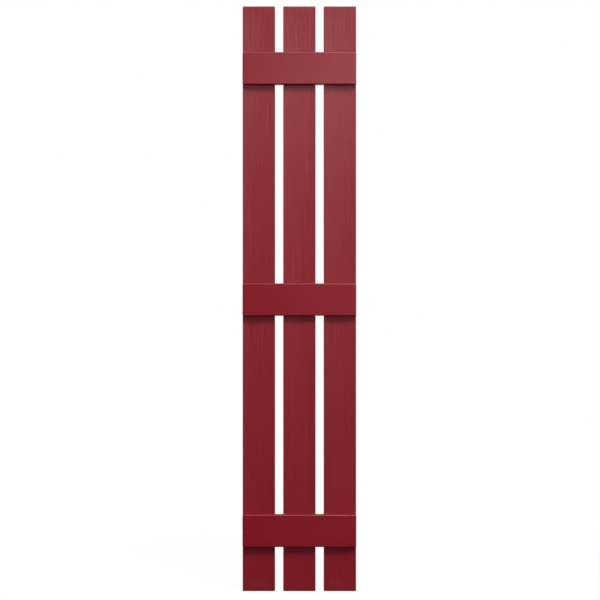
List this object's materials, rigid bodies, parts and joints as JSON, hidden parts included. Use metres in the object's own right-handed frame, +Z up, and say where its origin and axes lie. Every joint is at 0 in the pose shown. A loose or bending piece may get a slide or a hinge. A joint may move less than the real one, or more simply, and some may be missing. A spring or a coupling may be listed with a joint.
{
  "type": "board and batten shutter",
  "caption": "Fixed exterior shutter: hollow moulded boards set apart by narrow gaps and held by raised battens, with a ribbed open back that lies flat on a wall.",
  "frame": {"origin": "on the wall plane, in the middle of the middle board's width, level with the middle of the middle batten", "axes": "+Z up along the boards, +X to the right as seen from the front, +Y into the wall, so that the front faces -Y"},
  "size_m": [0.3112, 0.035, 1.6],
  "materials": {
    "board_plastic": "satin, grained",
    "batten_plastic": "satin, finely grained"
  },
  "bodies": {
    "root": {"left_board": "board_plastic", "middle_board": "board_plastic", "right_board": "board_plastic", "top_batten": "batten_plastic", "middle_batten": "batten_plastic", "bottom_batten": "batten_plastic"}
  },
  "joints": []
}
